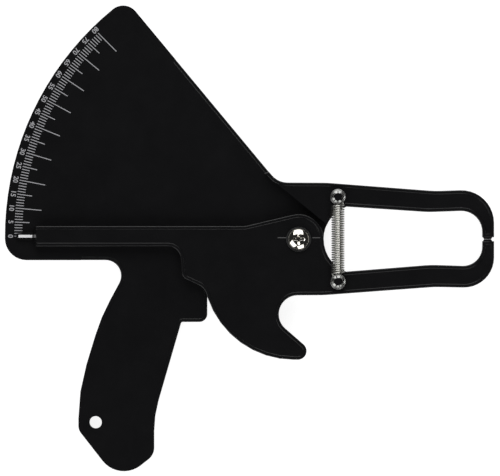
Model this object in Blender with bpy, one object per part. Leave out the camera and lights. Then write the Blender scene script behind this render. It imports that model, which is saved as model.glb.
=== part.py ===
"""Skinfold caliper: a flat frame with a dial fan and a pistol grip, and a sprung lever.

The lever is one bar: its left end is the pointer, its middle hangs down as the
trigger and its right end is the lower jaw. Sizes are in metres. The drawing's
origin is the pivot, +X points at the jaws, +Y up the fan and +Z out of the dial.
"""

import math

import bmesh
import bpy
from mathutils import Matrix, Vector
from mathutils.geometry import interpolate_bezier

# Shared sizes
GAP = 0.0003  # between pieces that touch
OVERRUN = 0.002  # how far a cutter runs past the face that it cuts
PROUD = 0.00005  # the fan's band and the raised arm stand this far outside the deep body
ARC_STEP = math.radians(10)  # one side of a round stretch of outline
FAN_ARC_STEP = math.radians(3)
SQUARE = math.pi / 2
HEXAGON_STEP = math.tau / 6
RIM_WIDTH = 0.0019  # the raised rim round the front of both mouldings
RIM_STEP = 0.0004  # from the rim down to the face inside it
RIM_FOOT = 0.0001  # how far that step leans inwards
RIM_TAPER = 0.002  # where the rim runs out to the fan's bare band
EDGE_ROUND = 0.00045
STEP_ROUND = 0.0003
ROUND_STEP = math.radians(30)
TURNED_SIDES = 28
ROUNDING_ROOM = 0.999
SHARP_ANGLE = math.radians(35)

# The dial fan: a sector whose two straight sides pass just outside the pivot
FAN_RADIUS = 0.1618
FAN_CENTRE = Vector((0.0, 0.0014))  # of its outer arc, a little above the pivot
FAN_FOOT = 0.0115  # from the pivot down to the lower side
FAN_FOOT_ANGLE = math.radians(180)
FAN_SIDE = 0.0111  # from the pivot out to the upper side
FAN_SIDE_ANGLE = math.radians(129.7)
FAN_LOW_CORNER = 0.012
FAN_TOP_CORNER = 0.009
FAN_SKIN = 0.0025
FAN_WALL_RADIUS = 0.1216  # outside this the fan is its skin alone
BAND_LAP = 0.0012  # how far that skin laps into the deep body

# The frame moulding: shares are of the grip's reach back and of its drop
FRAME_DEPTH = 0.009
FRAME_FACE = FRAME_DEPTH - RIM_STEP
WALL = 0.0026
RIB = 0.0018
CORE_CORNER = 0.0025
CORE_INNER = 0.034  # from the pivot to the fan's hollows
RIB_ANGLES = (math.radians(163.5), math.radians(146.8))
GRIP_BACK = 0.1213
GRIP_DROP = 0.1278
GRIP_WEB_SHARE = -0.758
GRIP_WEB_RADIUS = 0.0086
GRIP_SHARES = (
    (-0.898, -0.336, 0.80),
    (-1.0, -0.654, 0.80),
    (-1.0, -0.822, 0.05),
    (-0.8145, -1.0477, 0.117),
    (-0.656, -0.930, 0.062),
    (-0.656, -0.761, 0.47),
)
BLOCK_SHARES = (
    (-0.5326, -0.3568, 0.010),
    (-0.4147, -0.3568, 0.034),
    (-0.4147, -0.185, 0.05),
)
GRIP_CORE_SHARES = (
    ((-0.784, -0.155), (-0.440, -0.155), (-0.440, -0.330), (-0.848, -0.330)),
    ((-0.858, -0.347), (-0.560, -0.347), (-0.655, -0.720), (-0.966, -0.700)),
    ((-0.860, -0.875), (-0.785, -0.735), (-0.682, -0.735), (-0.682, -0.905), (-0.780, -0.965)),
)
LANYARD_SHARE = (-0.9217, -0.7895)
LANYARD_RADIUS = 0.0034
LANYARD_CHAMFER = 0.0008

# The boss round the pivot, and the window between the arms
BOSS_RADIUS = 0.0138
WINDOW_RADIUS = 0.0191
WINDOW_X = BOSS_RADIUS + WINDOW_RADIUS
WINDOW_UPPER_ANGLE = math.radians(110)  # where it meets the arms' inner sides
WINDOW_LOWER_ANGLE = math.radians(249)

# The jaw arms: shares are of the reach along X and of the root's height along Y
JAW_REACH = 0.104  # from the pivot to the middle of the contact faces
ARM_ROOT = 0.0312
JAW_OUTSIDE = 0.0035
JAW_INSIDE = 0.0029
JAW_END = 0.0011  # from the contact plane to the end of each arm
UPPER_INNER_SHARE = (0.6875, 0.4776, 1.9)
UPPER_INSIDE_SHARE = (0.512, 0.369)
UPPER_CORNER_SHARE = (0.885, 0.577)
UPPER_OUTER_SHARES = ((0.721, 0.849, 1.9), (0.15, 0.995, 1.9))
LOWER_OUTER_SHARES = ((0.135, -0.987, 1.9), (0.717, -0.843, 1.9))
LOWER_CORNER_SHARE = (-0.862, 0.53)
LOWER_INSIDE_SHARE = (-0.481, 0.337)
LOWER_INNER_SHARE = (0.700, -0.452, 1.9)
SHOULDER_RADIUS = 0.0115
STEP_TOP_SHARE = 1.16  # the height at which the raised arm's step leaves the fan's rim
STEP_END_ANGLE = math.radians(153.7)  # where on the window it ends
PLATE_SHARES = (1.19, -0.30, 1.04)  # the height of its end, and its corner past the step
PLATE_WINDOW_ANGLE = math.radians(168)
ARM_BACK_X = 0.024  # the deep body ends here, and the arm is as deep as the lever

# The lever: shares are of the trigger's reach back and of its drop
LEVER_DEPTH = 0.007
LEVER_SKIN = 0.0022
LEVER_BACK = FRAME_DEPTH + GAP
LEVER_FRONT = LEVER_BACK + LEVER_DEPTH
POINTER_Y = 0.00165
POINTER_WIDTH = 0.0111
POINTER_END = 0.1463
POINTER_CORNER = 0.0024
POINTER_KNEE = 0.0295
POINTER_KNEE_RADIUS = 0.012
POINTER_RAMP = 0.0018
TRIGGER_BACK = 0.0654
TRIGGER_DROP = 0.0663
TRIGGER_KNEE_SHARE = 0.106
TRIGGER_SHARES = (
    (-0.979, -0.317, 0.068),
    (-0.795, -0.400, 0.12),
    (-0.590, -1.0, 0.754),
    (0.190, -1.0, 0.0724),
    (-0.431, -0.4676, 0.157),
)
TRIGGER_CORE_SHARES = (
    (
        (-0.887, 0.038),
        (-0.887, -0.245),
        (-0.735, -0.345),
        (-0.715, -0.400),
        (-0.250, -0.400),
        (-0.275, 0.038),
    ),
    (
        (-0.700, -0.430),
        (-0.596, -0.679),
        (-0.428, -0.837),
        (-0.199, -0.925),
        (-0.225, -0.750),
        (-0.245, -0.430),
    ),
)

# The pointer's tongue and its index line
TONGUE_END = 0.1554
TONGUE_ROOT_WIDTH = 0.0054
TONGUE_TIP_WIDTH = 0.003
TONGUE_DEPTH = 0.0017
TONGUE_OVERLAP = 0.0045
INDEX_MARGIN = 0.0012
INDEX_WIDTH = 0.0015
INDEX_DEPTH = 0.0005
INDEX_GROOVE = 0.0006

# The contact pads
PAD_FACE_WIDTH = 0.0038
PAD_SHOULDER_WIDTH = 0.0056
PAD_INSET = 0.0006
PAD_TENON_WIDTH = 0.0022
PAD_TENON_LENGTH = 0.0034
PAD_TENON_COVER = 0.002

# The pivot screw and what it clamps
SCREW_RADIUS = 0.0025
SCREW_END = 0.0002
SCREW_HEAD_RADIUS = 0.0059
SCREW_HEAD_HEIGHT = 0.0028
SCREW_HEAD_RIM = 0.0007
SCREW_HEAD_FLAT_SHARE = 0.12
SCREW_HEAD_STEPS = 5
CROSS_LENGTH = 0.0056
CROSS_WIDTH = 0.0013
CROSS_DEPTH = 0.0016
SLEEVE_WALL = 0.0012
HEAD_WASHER_RADIUS = 0.0069
HEAD_WASHER_DEPTH = 0.0008
THRUST_WASHER_RADIUS = 0.009
THRUST_WASHER_DEPTH = 0.0007
BOSS_WEB = 0.0018  # the frame's floor between the thrust washer and the back washer
BACK_WASHER_RADIUS = 0.0053
BACK_WASHER_DEPTH = 0.0008
NUT_FLATS = 0.008
NUT_DEPTH = 0.0042
INSERT_WALL = 0.0005
INSERT_DEPTH = 0.0012

# The spring, its posts and the push nuts
POST_X = 0.0216
POST_Y = 0.0233
POST_RADIUS = 0.0018
POST_SHOULDER_RADIUS = 0.003
POST_ABOVE_NUT = 0.0007
WIRE = 0.0008
COIL_RADIUS = 0.00325
COIL_PITCH = 0.00127
COIL_TURNS = 29.5
COIL_POINTS = 10
COIL_CLEARANCE = 0.0005  # over the lever, which passes under the spring as it opens
LOOP_TURN = math.radians(262)
LOOP_POINTS = 14
BEND_LENGTH = 0.0027
BEND_POINTS = 6
BEND_PULL_SHARE = 0.45
PUSH_NUT_RADIUS = 0.00426
PUSH_NUT_RIM = 0.0009
PUSH_NUT_SHEET = 0.0005
PUSH_NUT_DISH = 0.0006
PUSH_NUT_TEETH = 8
PUSH_NUT_SLOT_DEPTH = 0.001
PUSH_NUT_TURNS = (math.radians(8), math.radians(25))

# Heights that the stack sets, from the front down
PIVOT_BORE = SCREW_RADIUS + GAP + SLEEVE_WALL + GAP
THRUST_FLOOR = FRAME_DEPTH - THRUST_WASHER_DEPTH - GAP
POCKET_ROOF = THRUST_FLOOR - BOSS_WEB
BACK_WASHER_LOW = POCKET_ROOF - GAP - BACK_WASHER_DEPTH
NUT_TOP = BACK_WASHER_LOW - GAP
NUT_BOTTOM = NUT_TOP - NUT_DEPTH
HEAD_WASHER_BOTTOM = LEVER_FRONT + GAP
HEAD_BOTTOM = HEAD_WASHER_BOTTOM + HEAD_WASHER_DEPTH + GAP
HEAD_TOP = HEAD_BOTTOM + SCREW_HEAD_HEIGHT
SPRING_Z = LEVER_FRONT + RIM_STEP + COIL_CLEARANCE + COIL_RADIUS + WIRE / 2
PUSH_NUT_Z = SPRING_Z + WIRE / 2 + GAP
LOOP_RADIUS = POST_RADIUS + GAP + WIRE / 2
COIL_HALF = COIL_TURNS * COIL_PITCH / 2


def clear_scene():
    for item in list(bpy.data.objects):
        bpy.data.objects.remove(item, do_unlink=True)


def material(name, colour, roughness, metallic=0.0):
    made = bpy.data.materials.new(name)
    made.use_nodes = True
    surface = made.node_tree.nodes["Principled BSDF"]
    surface.inputs["Base Color"].default_value = (*colour, 1.0)
    surface.inputs["Roughness"].default_value = roughness
    surface.inputs["Metallic"].default_value = metallic
    return made


# Outlines


def polar(radius, angle):
    return Vector((radius * math.cos(angle), radius * math.sin(angle)))


def arc(centre, radius, start, end, step=ARC_STEP):
    """Points of an arc from one angle to another."""
    count = max(2, math.ceil(abs(end - start) / step))
    turns = (start + (end - start) * i / count for i in range(count + 1))
    return [Vector(centre) + polar(radius, turn) for turn in turns]


def about_pivot(radius, start, end, step=ARC_STEP):
    return arc((0.0, 0.0), radius, start, end, step)


def sharp(points):
    return [(*point, 0.0) for point in points]


def scaled(shares, across, up):
    """Corners of (x, y, radius) from shares of a width and of a height."""
    return [(x * across, y * up, radius * up) for x, y, radius in shares]


def rounded(corners):
    """An outline's points, from its corners of (x, y, radius) in order."""
    count = len(corners)
    spots = [Vector(corner[:2]) for corner in corners]
    backs = [spots[i - 1] - spots[i] for i in range(count)]
    ons = [spots[(i + 1) % count] - spots[i] for i in range(count)]
    halves = [backs[i].angle(ons[i]) / 2 for i in range(count)]
    reaches = [corners[i][2] / math.tan(halves[i]) for i in range(count)]
    points = []
    for i, spot in enumerate(spots):
        if not corners[i][2]:
            points.append(spot)
            continue
        # two roundings that share a side leave each other room on it
        room_back = backs[i].length / (reaches[i] + reaches[i - 1])
        room_on = ons[i].length / (reaches[i] + reaches[(i + 1) % count])
        reach = reaches[i] * min(1.0, ROUNDING_ROOM * room_back, ROUNDING_ROOM * room_on)
        radius = reach * math.tan(halves[i])
        back, on = backs[i].normalized(), ons[i].normalized()
        centre = spot + (back + on).normalized() * radius / math.sin(halves[i])
        first, last = spot + back * reach - centre, spot + on * reach - centre
        start = math.atan2(first.y, first.x)
        turn = math.remainder(math.atan2(last.y, last.x) - start, math.tau)
        points += arc(centre, radius, start, start + turn)
    return points


def box_points(left, right, low, high):
    return [Vector(spot) for spot in ((left, low), (right, low), (right, high), (left, high))]


def beside(radius, angle, offset, centre=Vector((0.0, 0.0))):
    """The point at a radius from a centre, on a line that passes the pivot at an offset.

    The line runs outwards at an angle, and a positive offset lies to its right.
    """
    right = polar(1.0, angle - SQUARE)
    aside = offset - centre.dot(right)
    along = math.sqrt(radius**2 - aside**2)
    return centre + polar(along, angle) + right * aside


def inset(points, width):
    """An outline moved inwards by a width, corner by corner."""
    count = len(points)
    sides = [(points[(i + 1) % count] - points[i]).normalized() for i in range(count)]
    area = sum(points[i - 1].cross(points[i]) for i in range(count))
    inward = math.copysign(width, area)
    moved = []
    for i, point in enumerate(points):
        before, after = sides[i - 1].orthogonal(), sides[i].orthogonal()
        moved.append(point + (before + after) * inward / (1 + before.dot(after)))
    return moved


def side_point(height, proud=0.0):
    """The point of the fan's upper side at a height above the pivot."""
    across = (FAN_SIDE + proud + height * math.cos(FAN_SIDE_ANGLE)) / math.sin(FAN_SIDE_ANGLE)
    return Vector((across, height))


def turn_of(point):
    """A point's angle about the pivot, from 0 to a full turn."""
    return math.atan2(point[1], point[0]) % math.tau


def boss_tangent(point):
    """How far round the boss, from a point's own angle, a line to it touches."""
    return math.acos(BOSS_RADIUS / Vector(point[:2]).length)


# Meshes


def finished(made):
    bmesh.ops.recalc_face_normals(made, faces=made.faces)
    mesh = bpy.data.meshes.new("shape")
    made.to_mesh(mesh)
    made.free()
    mesh.shade_smooth()
    mesh.set_sharp_from_angle(angle=SHARP_ANGLE)
    return mesh


def moulded(points, profile, flat=lambda point: False):
    """A solid from an outline and its side's profile of (inset, height), from the back.

    At a flat point of the outline nothing rises above the last height.
    """
    made = bmesh.new()
    face = profile[-1][1]
    loops = []
    for width, height in profile:
        heights = [min(height, face) if flat(point) else height for point in points]
        spots = zip(inset(points, width), heights)
        loops.append([made.verts.new((*spot, z)) for spot, z in spots])
    for lower, upper in zip(loops, loops[1:]):
        for i in range(len(points)):
            made.faces.new((lower[i - 1], lower[i], upper[i], upper[i - 1]))
    made.faces.new(loops[0])
    made.faces.new(loops[-1])
    return finished(made)


def slab(points, low, high):
    return moulded([Vector(point) for point in points], ((0.0, low), (0.0, high)))


def rim_profile(low, face):
    """Up the side, round the edge, over the rim and down to the face inside it."""
    top = face + RIM_STEP
    edge = arc((EDGE_ROUND, top - EDGE_ROUND), EDGE_ROUND, math.pi, SQUARE, ROUND_STEP)
    inner = RIM_WIDTH - STEP_ROUND
    step = arc((inner, top - STEP_ROUND), STEP_ROUND, SQUARE, 0.0, ROUND_STEP)
    return [(0.0, low), *edge, *step, (RIM_WIDTH + RIM_FOOT, face)]


def ring(profile, sides=TURNED_SIDES, hollow=True):
    """A ring about Z from a closed profile of (radius, height)."""
    made = bmesh.new()
    rows = []
    for i in range(sides):
        angle = math.tau * i / sides
        rows.append([made.verts.new((*polar(radius, angle), z)) for radius, z in profile])
    spans = len(profile) if hollow else len(profile) - 1
    for i in range(sides):
        row, after = rows[i], rows[(i + 1) % sides]
        for j in range(spans):
            k = (j + 1) % len(profile)
            made.faces.new((row[j], after[j], after[k], row[k]))
    if not hollow:
        made.faces.new([row[0] for row in rows])
        made.faces.new([row[-1] for row in rows])
    return finished(made)


def turned(profile, sides=TURNED_SIDES):
    """A solid about Z with flat ends, from (radius, height) up its outside."""
    return ring(profile, sides, hollow=False)


def disc(radius, low, high, sides=TURNED_SIDES):
    return turned(((radius, low), (radius, high)), sides)


def washer(outer, inner, low, high, sides=TURNED_SIDES):
    return ring(((outer, low), (outer, high), (inner, high), (inner, low)), sides)


# Objects


def add(name, mesh, look, parent, place=(0.0, 0.0)):
    thing = bpy.data.objects.new(name, mesh)
    bpy.context.scene.collection.objects.link(thing)
    if look:
        mesh.materials.append(look)
    thing.parent = parent
    thing.location = (*place, 0.0)
    return thing


def shape(target, operation, mesh, place):
    tool = add(f"{target.name}_tool_{len(target.modifiers)}", mesh, None, target.parent, place)
    tool.hide_render = True
    tool.display_type = "WIRE"
    step = target.modifiers.new(tool.name, "BOOLEAN")
    step.operation = operation
    step.object = tool
    return tool


def join(target, mesh, place=(0.0, 0.0)):
    return shape(target, "UNION", mesh, place)


def cut(target, mesh, place=(0.0, 0.0)):
    return shape(target, "DIFFERENCE", mesh, place)


# The frame moulding


def fan_band_points():
    """The fan's thin outer band, from its wall out to its edge."""
    side, foot = FAN_SIDE + PROUD, FAN_FOOT + PROUD
    top_reach, low_reach = FAN_RADIUS - FAN_TOP_CORNER, FAN_RADIUS - FAN_LOW_CORNER
    top = beside(top_reach, FAN_SIDE_ANGLE, side - FAN_TOP_CORNER, FAN_CENTRE)
    low = beside(low_reach, FAN_FOOT_ANGLE, FAN_LOW_CORNER - foot, FAN_CENTRE)
    first, last = turn_of(top - FAN_CENTRE), turn_of(low - FAN_CENTRE)
    inner = FAN_WALL_RADIUS - BAND_LAP
    inner_low = beside(inner, FAN_FOOT_ANGLE, -foot)
    inner_top = beside(inner, FAN_SIDE_ANGLE, side)
    return (
        arc(top, FAN_TOP_CORNER, FAN_SIDE_ANGLE - SQUARE, first)
        + arc(FAN_CENTRE, FAN_RADIUS, first, last, FAN_ARC_STEP)[1:-1]
        + arc(low, FAN_LOW_CORNER, last, FAN_FOOT_ANGLE + SQUARE)
        + about_pivot(inner, turn_of(inner_low), turn_of(inner_top), FAN_ARC_STEP)
    )


def body_points():
    """The deep part of the frame: the fan inside its wall, the grip, block and boss."""
    block = scaled(BLOCK_SHARES, GRIP_BACK, GRIP_DROP)
    hidden = turn_of(block[-1]) + boss_tangent(block[-1])
    upper = turn_of(beside(FAN_WALL_RADIUS, FAN_SIDE_ANGLE, FAN_SIDE))
    lower = turn_of(beside(FAN_WALL_RADIUS, FAN_FOOT_ANGLE, -FAN_FOOT))
    rim_upper = beside(FAN_WALL_RADIUS - RIM_TAPER, FAN_SIDE_ANGLE, FAN_SIDE)
    rim_lower = beside(FAN_WALL_RADIUS - RIM_TAPER, FAN_FOOT_ANGLE, -FAN_FOOT)
    root = ARM_ROOT - PROUD
    waist, bend = UPPER_OUTER_SHARES
    end = ARM_BACK_X + OVERRUN
    fall = (bend[1] - waist[1]) / (waist[0] - bend[0]) * (end / JAW_REACH - bend[0])
    end_angle = math.acos((end - WINDOW_X) / WINDOW_RADIUS)
    return rounded(
        sharp([rim_upper, *about_pivot(FAN_WALL_RADIUS, upper, lower, FAN_ARC_STEP), rim_lower])
        + [(GRIP_WEB_SHARE * GRIP_BACK, -FAN_FOOT, GRIP_WEB_RADIUS)]
        + scaled(GRIP_SHARES, GRIP_BACK, GRIP_DROP)
        + block
        + sharp(about_pivot(BOSS_RADIUS, hidden, math.tau))
        + sharp(arc((WINDOW_X, 0.0), WINDOW_RADIUS, math.pi, end_angle)[1:])
        + [(end, (bend[1] - fall) * root, 0.0), (bend[0] * JAW_REACH, bend[1] * root, 0.0)]
        + [(*side_point(root), SHOULDER_RADIUS)]
    )


def on_fan_wall(point):
    return point.length > FAN_WALL_RADIUS - PROUD


def upper_arm_points():
    """The upper arm's plate, from inside the body to the jaw."""
    side, across, up = PLATE_SHARES
    inside, outside = JAW_REACH - JAW_INSIDE, JAW_REACH + JAW_OUTSIDE
    in_height, in_radius = UPPER_INSIDE_SHARE
    out_height, out_radius = UPPER_CORNER_SHARE
    window = WINDOW_RADIUS - PROUD
    return rounded(
        sharp([side_point(ARM_ROOT * side, PROUD)])
        + [(across * JAW_REACH, up * ARM_ROOT, 0.0)]
        + sharp(arc((WINDOW_X, 0.0), window, PLATE_WINDOW_ANGLE, WINDOW_UPPER_ANGLE))
        + scaled([UPPER_INNER_SHARE], JAW_REACH, ARM_ROOT)
        + [(inside, in_height * ARM_ROOT, in_radius * ARM_ROOT)]
        + [(inside, JAW_END, 0.0), (outside, JAW_END, 0.0)]
        + [(outside, out_height * ARM_ROOT, out_radius * ARM_ROOT)]
        + scaled(UPPER_OUTER_SHARES, JAW_REACH, ARM_ROOT)
        + [(*side_point(ARM_ROOT, PROUD), SHOULDER_RADIUS)]
    )


def step_points():
    """What the step takes off the arm's plate: all to the fan's side of its line."""
    top = side_point(ARM_ROOT * STEP_TOP_SHARE, -RIM_WIDTH)
    end = Vector((WINDOW_X, 0.0)) + polar(WINDOW_RADIUS, STEP_END_ANGLE)
    along = (end - top).normalized()
    down = Vector((along.y, -along.x)) * ARM_ROOT
    first, last = top - along * ARM_ROOT, end + along * WINDOW_RADIUS
    return [first, first + down, last + down, last]


def step_profile(low):
    """The step's cutter flares at the front, and so rounds the edge that it leaves."""
    round_over = arc((-EDGE_ROUND, LEVER_FRONT - EDGE_ROUND), EDGE_ROUND, 0.0, SQUARE, ROUND_STEP)
    return [(0.0, low), *round_over, (-EDGE_ROUND, LEVER_FRONT + RIM_STEP + OVERRUN)]


def fan_cells():
    """The hollows behind the fan, between its walls and its ribs."""
    lows = [(FAN_FOOT_ANGLE, WALL - FAN_FOOT)] + [(angle, RIB / 2) for angle in RIB_ANGLES]
    highs = [(angle, -RIB / 2) for angle in RIB_ANGLES] + [(FAN_SIDE_ANGLE, FAN_SIDE - WALL)]
    outer = FAN_WALL_RADIUS - WALL
    for (low_angle, low), (high_angle, high) in zip(lows, highs):
        top, foot = beside(outer, high_angle, high), beside(outer, low_angle, low)
        rim = about_pivot(outer, turn_of(top), turn_of(foot), FAN_ARC_STEP)
        yield rounded(
            [(*beside(CORE_INNER, high_angle, high), CORE_CORNER), (*top, CORE_CORNER)]
            + sharp(rim[1:-1])
            + [(*foot, CORE_CORNER), (*beside(CORE_INNER, low_angle, low), CORE_CORNER)]
        )


def cells(tables, across, up):
    """Hollows from tables of corners, each corner rounded alike."""
    for shares in tables:
        yield rounded([(x * across, y * up, CORE_CORNER) for x, y in shares])


def post_mesh():
    """A spring post: a shoulder under the spring's loop, and the pin through it."""
    loop_bottom = SPRING_Z - WIRE / 2 - GAP
    pin_top = PUSH_NUT_Z + PUSH_NUT_SHEET + PUSH_NUT_DISH + POST_ABOVE_NUT
    return turned((
        (POST_SHOULDER_RADIUS, LEVER_FRONT - OVERRUN),
        (POST_SHOULDER_RADIUS, loop_bottom),
        (POST_RADIUS, loop_bottom),
        (POST_RADIUS, pin_top),
    ))


def lanyard_hole():
    wide = LANYARD_RADIUS + LANYARD_CHAMFER
    return turned((
        (LANYARD_RADIUS, -OVERRUN),
        (LANYARD_RADIUS, FRAME_FACE - LANYARD_CHAMFER),
        (wide, FRAME_FACE),
        (wide, FRAME_DEPTH + OVERRUN),
    ))


def tenon_slot(side):
    """The blind slot in a jaw's end that holds its pad's tenon."""
    half = PAD_TENON_WIDTH / 2 + GAP
    spots = box_points(-half, half, JAW_END - OVERRUN, JAW_END + PAD_TENON_LENGTH)
    points = [(JAW_REACH + x, side * y) for x, y in spots]
    low, high = tenon_heights()
    return slab(points, low - GAP, high + GAP)


def tenon_heights():
    return LEVER_BACK + PAD_TENON_COVER, LEVER_FRONT - PAD_TENON_COVER


def make_frame(look, axis):
    body = moulded(body_points(), rim_profile(0.0, FRAME_FACE), on_fan_wall)
    frame = add("frame", body, look, axis)
    skin_back = FRAME_DEPTH - FAN_SKIN
    far = JAW_REACH + JAW_OUTSIDE + OVERRUN
    arm_back = box_points(ARM_BACK_X, far, -OVERRUN, ARM_ROOT + OVERRUN)
    join(frame, slab(fan_band_points(), skin_back, FRAME_FACE))
    arm_low = FRAME_FACE - RIM_WIDTH
    arm = join(frame, moulded(upper_arm_points(), rim_profile(arm_low, LEVER_FRONT)))
    cut(arm, moulded(step_points(), step_profile(arm_low - OVERRUN)))
    join(frame, post_mesh(), (POST_X, POST_Y))
    for cell in (*fan_cells(), *cells(GRIP_CORE_SHARES, GRIP_BACK, GRIP_DROP)):
        cut(frame, slab(cell, -OVERRUN, skin_back))
    cut(frame, slab(arm_back, -OVERRUN, LEVER_BACK))
    cut(frame, tenon_slot(1))
    cut(frame, disc(PIVOT_BORE, -OVERRUN, FRAME_DEPTH + OVERRUN))
    cut(frame, disc(THRUST_WASHER_RADIUS + GAP, THRUST_FLOOR, FRAME_DEPTH + OVERRUN))
    cut(frame, disc(BACK_WASHER_RADIUS + GAP, -OVERRUN, POCKET_ROOF))
    across, up = LANYARD_SHARE
    cut(frame, lanyard_hole(), (across * GRIP_BACK, up * GRIP_DROP))


# The lever


def lever_points():
    """The whole bar: pointer, trigger, lower jaw, window and boss."""
    top, bottom = POINTER_Y + POINTER_WIDTH / 2, POINTER_Y - POINTER_WIDTH / 2
    inside, outside = JAW_REACH - JAW_INSIDE, JAW_REACH + JAW_OUTSIDE
    in_height, in_radius = LOWER_INSIDE_SHARE
    out_height, out_radius = LOWER_CORNER_SHARE
    knee = (-POINTER_KNEE, top, POINTER_KNEE_RADIUS)
    boss_end = turn_of(knee) - boss_tangent(knee)
    return rounded(
        [(-POINTER_END, bottom, POINTER_CORNER)]
        + [(-TRIGGER_BACK, bottom, TRIGGER_KNEE_SHARE * TRIGGER_DROP)]
        + scaled(TRIGGER_SHARES, TRIGGER_BACK, TRIGGER_DROP)
        + scaled(LOWER_OUTER_SHARES, JAW_REACH, ARM_ROOT)
        + [(outside, out_height * ARM_ROOT, out_radius * ARM_ROOT)]
        + [(outside, -JAW_END, 0.0), (inside, -JAW_END, 0.0)]
        + [(inside, in_height * ARM_ROOT, in_radius * ARM_ROOT)]
        + scaled([LOWER_INNER_SHARE], JAW_REACH, ARM_ROOT)
        + sharp(arc((WINDOW_X, 0.0), WINDOW_RADIUS, WINDOW_LOWER_ANGLE, math.pi))
        + sharp(about_pivot(BOSS_RADIUS, 0.0, boss_end)[1:])
        + [knee, (-POINTER_END, top, POINTER_CORNER)]
    )


def tongue_points():
    root, tip = TONGUE_ROOT_WIDTH / 2, TONGUE_TIP_WIDTH / 2
    inner = TONGUE_OVERLAP - POINTER_END
    return [
        Vector((-TONGUE_END, POINTER_Y - tip)),
        Vector((inner, POINTER_Y - root)),
        Vector((inner, POINTER_Y + root)),
        Vector((-TONGUE_END, POINTER_Y + tip)),
    ]


def ramp_mesh():
    """The wedge that slopes the pointer's front down to its tongue."""
    low, high = LEVER_BACK + TONGUE_DEPTH, LEVER_FRONT + OVERRUN
    far, near = -TONGUE_END - OVERRUN, POINTER_RAMP - POINTER_END
    points = ((far, low), (-POINTER_END, low), (near, LEVER_FRONT), (near, high), (far, high))
    mesh = slab(points, -POINTER_WIDTH, POINTER_WIDTH)
    mesh.transform(Matrix.Rotation(SQUARE, 4, "X"))
    return mesh


def pointer_core_points():
    half = POINTER_WIDTH / 2 - LEVER_SKIN
    left = POINTER_RAMP + LEVER_SKIN - POINTER_END
    spots = box_points(left, -TRIGGER_BACK, POINTER_Y - half, POINTER_Y + half)
    return rounded([(*spot, CORE_CORNER) for spot in spots])


def index_box(grown, low, high):
    """The index line's bar, or the groove for it with a gap all round."""
    half = INDEX_WIDTH / 2 + grown
    left, right = INDEX_MARGIN - TONGUE_END - grown, -POINTER_END - GAP + grown
    return slab(box_points(left, right, POINTER_Y - half, POINTER_Y + half), low, high)


def make_lever(look, white, axis):
    lever = add("lever", moulded(lever_points(), rim_profile(LEVER_BACK, LEVER_FRONT)), look, axis)
    tongue_top = LEVER_BACK + TONGUE_DEPTH
    groove = tongue_top - INDEX_GROOVE
    core_roof = LEVER_FRONT - LEVER_SKIN
    cut(lever, ramp_mesh())
    join(lever, slab(tongue_points(), LEVER_BACK, tongue_top))
    join(lever, post_mesh(), (POST_X, -POST_Y))
    cut(lever, index_box(GAP, groove, tongue_top + OVERRUN))
    for cell in (pointer_core_points(), *cells(TRIGGER_CORE_SHARES, TRIGGER_BACK, TRIGGER_DROP)):
        cut(lever, slab(cell, LEVER_BACK - OVERRUN, core_roof))
    cut(lever, tenon_slot(-1))
    cut(lever, disc(PIVOT_BORE, LEVER_BACK - OVERRUN, LEVER_FRONT + OVERRUN))
    add("pointer_index", index_box(0.0, groove + GAP, groove + GAP + INDEX_DEPTH), white, axis)


def make_pad(name, side, look, axis):
    """A contact pad: a tapered block that closes on the other, with a tenon."""
    face, shoulder = PAD_FACE_WIDTH / 2, PAD_SHOULDER_WIDTH / 2
    seat = JAW_END - GAP
    taper = ((-face, GAP / 2), (face, GAP / 2), (shoulder, seat), (-shoulder, seat))
    points = [(JAW_REACH + x, side * y) for x, y in taper]
    pad = add(name, slab(points, LEVER_BACK + PAD_INSET, LEVER_FRONT - PAD_INSET), look, axis)
    half = PAD_TENON_WIDTH / 2
    top = JAW_END + PAD_TENON_LENGTH - GAP
    tenon = [(JAW_REACH + x, side * y) for x, y in box_points(-half, half, seat - GAP, top)]
    join(pad, slab(tenon, *tenon_heights()))


# The pivot


def head_mesh():
    """A domed screw head and its shank, as one turned solid."""
    rise = SCREW_HEAD_HEIGHT - SCREW_HEAD_RIM
    profile = [
        (SCREW_RADIUS, NUT_BOTTOM - SCREW_END),
        (SCREW_RADIUS, HEAD_BOTTOM),
        (SCREW_HEAD_RADIUS, HEAD_BOTTOM),
    ]
    for i in range(SCREW_HEAD_STEPS + 1):
        share = 1 - (1 - SCREW_HEAD_FLAT_SHARE) * i / SCREW_HEAD_STEPS
        height = HEAD_BOTTOM + SCREW_HEAD_RIM + rise * math.sqrt(1 - share**2)
        profile.append((SCREW_HEAD_RADIUS * share, height))
    return turned(profile)


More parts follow.
